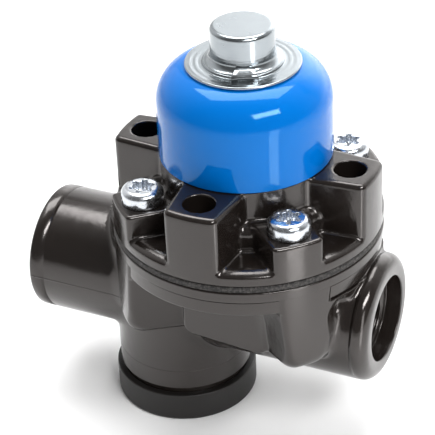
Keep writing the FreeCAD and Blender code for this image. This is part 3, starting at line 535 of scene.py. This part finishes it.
def hat_tab():
    """Trapezoid lug lanced from the sheet where crown and brim meet, a flat slope with rounded rims.

    Rows run down the slope from crown to step; (across, out) of a row are its half width and
    its distance from the axis, turned to the front of the valve.
    """
    rows = ((9.0, 51.5, 2.2), (9.3, 51.42, 2.5), (9.6, 51.25, 2.65), (12.1, 50.35, 3.7),
            (12.35, 50.0, 3.8), (12.3, 48.7, 3.8))
    share = np.array((-1.0, -0.985, -0.9, -0.45, 0.0, 0.45, 0.9, 0.985, 1.0))
    sunk = np.array((0.9, 0.25, 0.0, 0.0, 0.0, 0.0, 0.0, 0.25, 0.9))
    r, z, half = (np.array(v)[:, None] for v in zip(*rows))
    out, across = r - sunk * 0.5, share * half
    height = z - sunk * 0.6
    heading = math.radians(-64.0)
    x = out * math.cos(heading) - across * math.sin(heading)
    y = out * math.sin(heading) + across * math.cos(heading)
    points = np.stack((x, y, height), -1).reshape(-1, 3)
    i, j = np.meshgrid(np.arange(len(rows) - 1), np.arange(len(share) - 1), indexing="ij")
    first = (i * len(share) + j).ravel()
    return points, np.stack((first, first + len(share), first + len(share) + 1, first + 1), -1)


def foot_shell():
    """Lower cap: a cup on the chamber's step."""
    return turned([
        (0.0, -66.9, 0), (21.4, -66.9, 1.0), (21.4, -57.7, 0.35), (19.35, -57.7, 0.1),
        (19.35, -64.9, 0), (0.0, -64.9, 0)], centre=(CHECK_X, 0), around=224)


def rubber_sheet():
    """Outer band of the diaphragm, with its edge rounded by the clamping."""
    return turned([(30.0, -2.1, 0), (38.8, -2.1, 0.45), (38.8, 0.0, 0.6), (30.0, 0.0, 0)], around=384)


def star_radius(angle, core, lobe, reach):
    """Outline of a six lobed recess: the further of the core circle and the nearest lobe circle.

    Along a ray at angle t from the nearest lobe, that circle is met at
    reach cos t + sqrt(lobe^2 - reach^2 sin^2 t).
    """
    t = (angle + math.pi / 6) % (math.pi / 3) - math.pi / 6
    inside = lobe ** 2 - (reach * np.sin(t)) ** 2
    far = reach * np.cos(t) + np.sqrt(np.maximum(inside, 0))
    return np.where(inside > 0, np.maximum(core, far), core)


def screw_head(angle_out, twist):
    """Pan head with a six lobed recess, on a grid of rows from the recess floor out and down.

    Round the recess a row's radius is (1 - w) star + w circle, as w goes from 0 to 1. The head's
    shoulder is a quarter of an ellipse, and the shank's rows are (height, radius).
    """
    head = sizes().head / MM
    around, flat = 144, 4.1
    angle = np.arange(around) * 2 * math.pi / around
    star = star_radius(angle + twist, 2.5, 0.8, 2.75)
    recess = ((0.0, 1.95), (0.5, 2.0), (0.93, 2.05), (0.99, 2.3), (1.0, 4.45), (1.02, 4.6), (1.07, 4.66))
    shank = ((0.5, head), (0.28, head - 0.02), (0.1, head - 0.1), (0.0, head - 0.3), (0.0, 3.0),
             (-10.0, 3.0), (-16.0, 3.0), (-16.5, 2.5), (-16.5, 0.0))
    r = [star * share for share, height in recess]
    z = [height for share, height in recess]
    for w in np.linspace(0.15, 1.0, 8):
        r.append(star * (1 - w) * 1.07 + w * flat)
        z.append(4.66 - 0.05 * w ** 2)
    for a in np.linspace(0.12, 1.0, 9) * math.pi / 2:
        r.append(np.full(around, flat + (head - flat) * math.sin(a)))
        z.append(2.61 + 2.0 * math.cos(a))
    for height, radius in shank:
        r.append(np.full(around, radius))
        z.append(height)
    r = np.array(r)
    z = np.broadcast_to(np.array(z)[:, None], r.shape) + LOW_TOP
    x = SCREW_CIRCLE * math.cos(angle_out) + r * np.cos(angle)
    y = SCREW_CIRCLE * math.sin(angle_out) + r * np.sin(angle)
    return np.stack((x, y, z), -1).reshape(-1, 3), ring_faces(len(r), around, False)[:, ::-1]


def closed(piece):
    """Merge the points that meet at a pole or a seam."""
    form = bmesh.new()
    form.from_mesh(piece.data)
    bmesh.ops.remove_doubles(form, verts=form.verts, dist=1e-7)
    form.to_mesh(piece.data)
    form.free()
    return piece


# Materials

class Finish:
    """Node material with one Principled shader; textures read Object coordinates."""

    def __init__(self, name):
        self.material = bpy.data.materials.new(name)
        self.material.use_nodes = True
        self.nodes = self.material.node_tree.nodes
        self.links = self.material.node_tree.links
        self.shader = self.nodes["Principled BSDF"]
        self.place = self.nodes.new("ShaderNodeTexCoord").outputs["Object"]
        self.height = None

    def set(self, **values):
        """Constants on the shader's own sockets."""
        for name, value in values.items():
            self.shader.inputs[name.replace("_", " ")].default_value = value
        return self

    def noise(self, scale, detail=2.0, roughness=0.5, stretch=(1, 1, 1)):
        """Noise in the object's own coordinates, with this many cells a metre."""
        mapping = self.nodes.new("ShaderNodeMapping")
        mapping.inputs["Scale"].default_value = stretch
        self.links.new(self.place, mapping.inputs["Vector"])
        node = self.nodes.new("ShaderNodeTexNoise")
        node.inputs["Scale"].default_value = scale
        node.inputs["Detail"].default_value = detail
        node.inputs["Roughness"].default_value = roughness
        self.links.new(mapping.outputs["Vector"], node.inputs["Vector"])
        return node.outputs["Fac"]

    def math(self, kind, a, b=0.0, c=0.0):
        """Math node on outputs or numbers."""
        node = self.nodes.new("ShaderNodeMath")
        node.operation = kind
        for k, value in enumerate((a, b, c)):
            if hasattr(value, "is_output"):
                self.links.new(value, node.inputs[k])
            else:
                node.inputs[k].default_value = value
        return node.outputs[0]

    def band(self, value, low, high, to_low, to_high):
        """Value between low and high, carried over smoothly to another range."""
        node = self.nodes.new("ShaderNodeMapRange")
        node.interpolation_type = "SMOOTHSTEP"
        self.links.new(value, node.inputs[0])
        for k, number in enumerate((low, high, to_low, to_high)):
            node.inputs[k + 1].default_value = number
        return node.outputs[0]

    def mix(self, share, a, b):
        """Colour between a and b."""
        node = self.nodes.new("ShaderNodeMix")
        node.data_type = "RGBA"
        self.links.new(share, node.inputs[0])
        for k, value in ((6, a), (7, b)):
            if hasattr(value, "is_output"):
                self.links.new(value, node.inputs[k])
            else:
                node.inputs[k].default_value = (*value, 1.0)
        return node.outputs[2]

    def to(self, name, output):
        """Lead an output to a socket of the shader."""
        self.links.new(output, self.shader.inputs[name])
        return self

    def bump(self, height, distance, strength=1.0):
        """Bump of this height laid over any bump before it."""
        node = self.nodes.new("ShaderNodeBump")
        node.inputs["Distance"].default_value = distance
        node.inputs["Strength"].default_value = strength
        self.links.new(height, node.inputs["Height"])
        if self.height is not None:
            self.links.new(self.height, node.inputs["Normal"])
        self.height = node.outputs["Normal"]
        self.links.new(self.height, self.shader.inputs["Normal"])
        return self

    def axes(self):
        """Outputs x, y and z of the place."""
        node = self.nodes.new("ShaderNodeSeparateXYZ")
        self.links.new(self.place, node.inputs[0])
        return node.outputs


def paint_finish():
    """Gloss black paint over a grained casting, with a thin parting line along the inlet barrel."""
    f = Finish("gloss_paint").set(Base_Color=(*looks().paint, 1), IOR=1.6,
                                  Specular_Tint=(1.0, 0.95, 0.93, 1))
    f.to("Roughness", f.band(f.noise(160, 4, 0.6), 0.3, 0.75, 0.12, 0.24))
    x, y, z = f.axes()
    level = f.math("ABSOLUTE", f.math("SUBTRACT", z, (JOINT + PORT_LEVEL) * MM))
    line = f.band(level, 0.00012, 0.0003, 1.0, 0.0)
    f.bump(f.math("MULTIPLY", line, f.band(x, -0.032, -0.031, 1.0, 0.0)), 0.0003, 1.0)
    f.bump(f.noise(420, 2, 0.5), 0.00006, 0.6)
    f.bump(f.noise(2300, 3, 0.6), 0.00002, 0.6)
    return f.material


def rubber_finish():
    """Cut rubber edge with dark and light specks."""
    f = Finish("sheet_rubber").set(Roughness=0.6, IOR=1.5, Specular_IOR_Level=0.4)
    speck = f.noise(1300, 5, 0.75)
    dark, light = (tuple(share * c for c in looks().rubber) for share in (0.3, 4.0))
    f.to("Base Color", f.mix(f.band(speck, 0.44, 0.66, 0, 1), dark, light))
    f.bump(speck, 0.0004, 1.0)
    return f.material


def blue_finish():
    """Glossy moulded plastic, faintly wavy."""
    f = Finish("cap_blue").set(Base_Color=(*looks().cap_blue, 1), Roughness=0.07, IOR=1.5,
                               Specular_IOR_Level=0.35, Specular_Tint=(0.45, 0.85, 1.0, 1))
    f.bump(f.noise(260, 2, 0.5), 0.00003, 0.25)
    return f.material


def steel_finish():
    """Bright sheet with fine drawing rings, wider ones on the brim.

    The rings are sines of the distance from the axis plus 0.7 of the height.
    """
    f = Finish("drawn_steel").set(Base_Color=(*looks().steel, 1), Metallic=1.0, Roughness=0.2)
    x, y, z = f.axes()
    radius = f.math("SQRT", f.math("ADD", f.math("MULTIPLY", x, x), f.math("MULTIPLY", y, y)))
    spread = f.math("ADD", radius, f.math("MULTIPLY", z, 0.7))
    rings = f.math("SINE", f.math("MULTIPLY", spread, 9000.0))
    wide = f.math("SINE", f.math("MULTIPLY", spread, 3700.0))
    f.to("Roughness", f.band(f.noise(300, 4, 0.65), 0.3, 0.8, 0.12, 0.3))
    brim = f.band(radius, 0.0112, 0.0122, 0.0, 1.0)
    f.bump(f.math("MULTIPLY", f.math("MULTIPLY", wide, brim), f.noise(120, 2, 0.5)), 0.00006, 0.8)
    f.bump(f.math("MULTIPLY", rings, f.noise(500, 3, 0.6)), 0.000008, 0.6)
    return f.material


def zinc_finish():
    """Bright zinc plating, unevenly glossy."""
    f = Finish("zinc_plate").set(Base_Color=(*looks().zinc, 1), Metallic=1.0, Roughness=0.24)
    f.to("Roughness", f.band(f.noise(900, 3, 0.6), 0.3, 0.8, 0.16, 0.34))
    f.bump(f.noise(1400, 3, 0.6), 0.00001, 0.7)
    return f.material


def foot_finish():
    """Fine grained black plastic."""
    f = Finish("matte_plastic").set(Base_Color=(*looks().plastic, 1), Roughness=0.5, IOR=1.47)
    f.bump(f.noise(1800, 2, 0.5), 0.00002, 0.6)
    return f.material


def metal_finish(name, tone, roughness, metallic=1.0):
    """Plain machined or drawn metal for the inner pieces."""
    f = Finish(name).set(Base_Color=(*tone, 1), Metallic=metallic, Roughness=roughness)
    f.bump(f.noise(1200, 3, 0.6, (1, 1, 5)), 0.00001, 0.5)
    return f.material


def floor_finish():
    """Plain matt studio floor."""
    return Finish("studio_floor").set(Base_Color=(*looks().floor, 1), Roughness=0.75).material


MAKERS = {"gloss_paint": paint_finish, "sheet_rubber": rubber_finish, "cap_blue": blue_finish,
          "drawn_steel": steel_finish, "zinc_plate": zinc_finish, "matte_plastic": foot_finish,
          "studio_floor": floor_finish}


def finish(name):
    """The material of this name, made once."""
    return bpy.data.materials.get(name) or MAKERS[name]()


# Stage

# Camera fitted to the photograph: place in metres, axes and lens
CAMERA_PLACE = (0.1798, -0.3881, 0.2504)
CAMERA_RIGHT = (0.9082, 0.4168, -0.0384)
CAMERA_UP = (-0.1953, 0.5030, 0.8419)
CAMERA_LENS = 145.38
LIGHTS = (
    # name, place, aim, width, height, brightness
    ("top_softbox", (-0.12, 0.27, 0.85), (0, 0, 0), 0.85, 0.48, 7.4),
    ("front_softbox", (0.56, -0.36, 0.62), (0, 0, 0.02), 0.50, 0.20, 20.0),
    ("right_strip", (0.108, -0.070, -0.040), (0, 0, -0.040), 0.026, 0.09, 3.5),
    ("backdrop_light", (0.0, 1.1, 1.5), (0.0, 2.7, 0.9), 1.6, 0.5, 46.0),
)
BACK = (-0.40, 0.90, 0.15)


def make_floor():
    """Floor that sweeps up behind the valve: at angle b the bend of radius q is q - q cos b high."""
    low = FOOT_LOW.z
    width = np.linspace(-3.0, 3.0, 25)
    q, flat = 1.2, 1.6
    bend = np.linspace(0, math.pi / 2, 24)
    y = np.concatenate((np.linspace(-3.0, flat, 12), flat + q * np.sin(bend[1:]), np.full(4, flat + q)))
    z = np.concatenate((np.zeros(12), q - q * np.cos(bend[1:]), q + np.linspace(0.4, 2.0, 4)))
    grid = np.broadcast_arrays(width[None, :], y[:, None], (z + low)[:, None])
    points = np.stack(grid, -1).reshape(-1, 3)
    i, j = np.meshgrid(np.arange(len(y) - 1), np.arange(len(width) - 1), indexing="ij")
    a = (i * len(width) + j).ravel()
    faces = np.stack((a, a + 1, a + 1 + len(width), a + len(width)), -1)
    mesh = bpy.data.meshes.new("floor")
    mesh.from_pydata(points.tolist(), [], faces.tolist())
    mesh.polygons.foreach_set("use_smooth", np.ones(len(faces), bool))
    mesh.materials.append(finish("studio_floor"))
    floor = bpy.data.objects.new("floor", mesh)
    bpy.context.scene.collection.objects.link(floor)


def make_lights():
    """Softboxes, and surroundings that are bright behind the valve and dim in front of it.

    A softbox of brightness b and area w h gives pi b w h watts.
    """
    for name, place, aim, width, height, brightness in LIGHTS:
        data = bpy.data.lights.new(name, "AREA")
        data.shape, data.size, data.size_y = "RECTANGLE", width, height
        data.energy = math.pi * brightness * width * height
        lamp = bpy.data.objects.new(name, data)
        bpy.context.scene.collection.objects.link(lamp)
        lamp.location = place
        lamp.rotation_euler = (Vector(aim) - Vector(place)).to_track_quat("-Z", "Y").to_euler()
    world = bpy.data.worlds.new("studio")
    world.use_nodes = True
    tree = world.node_tree
    back = tree.nodes["Background"]
    back.inputs["Color"].default_value = (1.0, 0.995, 0.99, 1)
    way = tree.nodes.new("ShaderNodeTexCoord")
    toward = tree.nodes.new("ShaderNodeVectorMath")
    toward.operation = "DOT_PRODUCT"
    toward.inputs[1].default_value = BACK
    level = tree.nodes.new("ShaderNodeMapRange")
    level.interpolation_type = "SMOOTHSTEP"
    for k, number in enumerate((-0.3, 0.6, 0.18, 1.0)):
        level.inputs[k + 1].default_value = number
    tree.links.new(way.outputs["Generated"], toward.inputs[0])
    tree.links.new(toward.outputs["Value"], level.inputs[0])
    tree.links.new(level.outputs[0], back.inputs["Strength"])
    bpy.context.scene.world = world


def make_camera():
    """Camera at the photograph's viewing angle."""
    data = bpy.data.cameras.new("camera")
    data.lens, data.sensor_width = CAMERA_LENS, 36.0
    data.clip_start, data.clip_end = 0.05, 20.0
    camera = bpy.data.objects.new("camera", data)
    bpy.context.scene.collection.objects.link(camera)
    right, up = Vector(CAMERA_RIGHT), Vector(CAMERA_UP)
    turn = Matrix((right, up, right.cross(up))).transposed()
    camera.matrix_world = Matrix.Translation(Vector(CAMERA_PLACE)) @ turn.to_4x4()
    bpy.context.scene.camera = camera
    bpy.context.scene.view_settings.view_transform = "Standard"


# Operators

# Name of a cover screw, its direction from the axis and the turn of its recess, in degrees
SCREWS = (("front_right", -45, 8), ("front_left", -135, 21), ("rear_left", 135, 40), ("rear_right", 45, 15))
INSIDE = {"brass": ("seat_insert",),
          "aluminium": ("spring_piston", "check_disc", "chamber_plug"),
          "steel": ("spring_plate", "adjusting_screw", "lock_nut"),
          "spring": ("main_spring", "check_spring", "retaining_ring"),
          "rubber": ("check_seal", "plug_seal_ring")}


class MakeCover(bpy.types.Operator):
    """Cover casting with its bosses and mounting holes"""
    bl_idname = "valve.cover"
    bl_label = "Cover casting"

    def execute(self, context):
        piece = add_mesh("cover_casting", *cover_piece())
        dress(piece, finish("gloss_paint"), "casting_paint", "cover")
        return {"FINISHED"}


class MakeBody(bpy.types.Operator):
    """Body casting: core, flange edge, port ends with threads and chamber end"""
    bl_idname = "valve.body"
    bl_label = "Body casting"

    def execute(self, context):
        paint = finish("gloss_paint")
        core = add_mesh("body_casting", *body_piece())
        dress(core, paint, "casting_paint", "valve_body")
        s = sizes()
        ring = closed(add_mesh("flange_edge", *flange_ring()))
        outlet = closed(add_mesh("outlet_port_end", *port_end(BODY_HIGH.x / MM, 1, 3.6)))
        inlet = closed(add_mesh("inlet_port_end", *port_end(-BODY_LOW.x / MM, -1, 0.9)))
        chamber = closed(add_mesh("chamber_end", *chamber_end()))
        for piece in (ring, outlet, inlet, chamber):
            dress(piece, paint, "casting_paint")
        return {"FINISHED"}


class MakeRubber(bpy.types.Operator):
    """Diaphragm, clamped between the castings so that only its edge shows"""
    bl_idname = "valve.rubber"
    bl_label = "Diaphragm edge"

    def execute(self, context):
        edge = closed(add_mesh("diaphragm_edge", *rubber_sheet()))
        dress(edge, finish("sheet_rubber"), "rubber", "diaphragm")
        return {"FINISHED"}


class MakeCaps(bpy.types.Operator):
    """Dust cap, steel cap and lower cap"""
    bl_idname = "valve.caps"
    bl_label = "Caps"

    def execute(self, context):
        dust = closed(add_mesh("dust_cap_shell", *cap_shell()))
        dress(dust, finish("cap_blue"), "blue_plastic", "dust_cap")
        hat = closed(add_mesh("steel_cap_shell", *hat_shell()))
        dress(hat, finish("drawn_steel"), "bright_steel", "steel_cap")
        dress(add_mesh("steel_cap_tab", *hat_tab()), finish("drawn_steel"), "bright_steel")
        foot = closed(add_mesh("lower_cap_shell", *foot_shell()))
        dress(foot, finish("matte_plastic"), "black_plastic", "lower_cap")
        return {"FINISHED"}


class MakeScrews(bpy.types.Operator):
    """Four cover screws with star recesses, each turned its own way"""
    bl_idname = "valve.screws"
    bl_label = "Cover screws"

    def execute(self, context):
        for name, angle, twist in SCREWS:
            head = screw_head(math.radians(angle), math.radians(twist))
            piece = closed(add_mesh("screw_" + name, *head))
            dress(piece, finish("zinc_plate"), "screw_zinc", "cover_screw_" + name)
        return {"FINISHED"}


class DressInside(bpy.types.Operator):
    """Finishes for the inner pieces, which keep their solids"""
    bl_idname = "valve.inside"
    bl_label = "Inner pieces"

    def execute(self, context):
        finishes = {
            "brass": metal_finish("seat_brass", (0.62, 0.42, 0.16), 0.3),
            "aluminium": metal_finish("bare_metal", (0.66, 0.67, 0.69), 0.34),
            "steel": metal_finish("plated_metal", (0.5, 0.51, 0.54), 0.3),
            "spring": metal_finish("spring_metal", (0.2, 0.2, 0.21), 0.38),
            "rubber": finish("sheet_rubber")}
        for kind, nodes in INSIDE.items():
            for node in nodes:
                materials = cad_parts[node].data.materials
                materials.clear()
                materials.append(finishes[kind])
        return {"FINISHED"}


class MakeStage(bpy.types.Operator):
    """Pale floor, soft studio lights and the camera"""
    bl_idname = "valve.stage"
    bl_label = "Stage"

    def execute(self, context):
        make_floor()
        make_lights()
        make_camera()
        return {"FINISHED"}


class ValvePanel(bpy.types.Panel):
    """Sizes, looks and makers of the valve in the sidebar"""
    bl_idname = "VALVE_PT_panel"
    bl_label = "Pressure protection valve"
    bl_space_type = "VIEW_3D"
    bl_region_type = "UI"
    bl_category = "Valve"

    def draw(self, context):
        for group in (context.scene.valve_sizes, context.scene.valve_looks):
            box = self.layout.box()
            for name in group.__annotations__:
                box.prop(group, name)
        for operator in STEPS:
            self.layout.operator(operator)


MAKERS_IN_ORDER = (MakeCover, MakeBody, MakeRubber, MakeCaps, MakeScrews, DressInside, MakeStage)
STEPS = tuple(kind.bl_idname for kind in MAKERS_IN_ORDER)
CLASSES = (ValveSizes, ValveLooks, *MAKERS_IN_ORDER, ValvePanel)


def register():
    """Add the classes, and the valve's sizes and looks to the scene."""
    for kind in CLASSES:
        bpy.utils.register_class(kind)
    bpy.types.Scene.valve_sizes = PointerProperty(type=ValveSizes)
    bpy.types.Scene.valve_looks = PointerProperty(type=ValveLooks)


def unregister():
    """Take away what register adds."""
    del bpy.types.Scene.valve_looks
    del bpy.types.Scene.valve_sizes
    for kind in reversed(CLASSES):
        bpy.utils.unregister_class(kind)


def main():
    """Make every piece and the stage."""
    register()
    for step in STEPS:
        space, name = step.split(".")
        getattr(getattr(bpy.ops, space), name)()


if __name__ == "__main__":
    main()
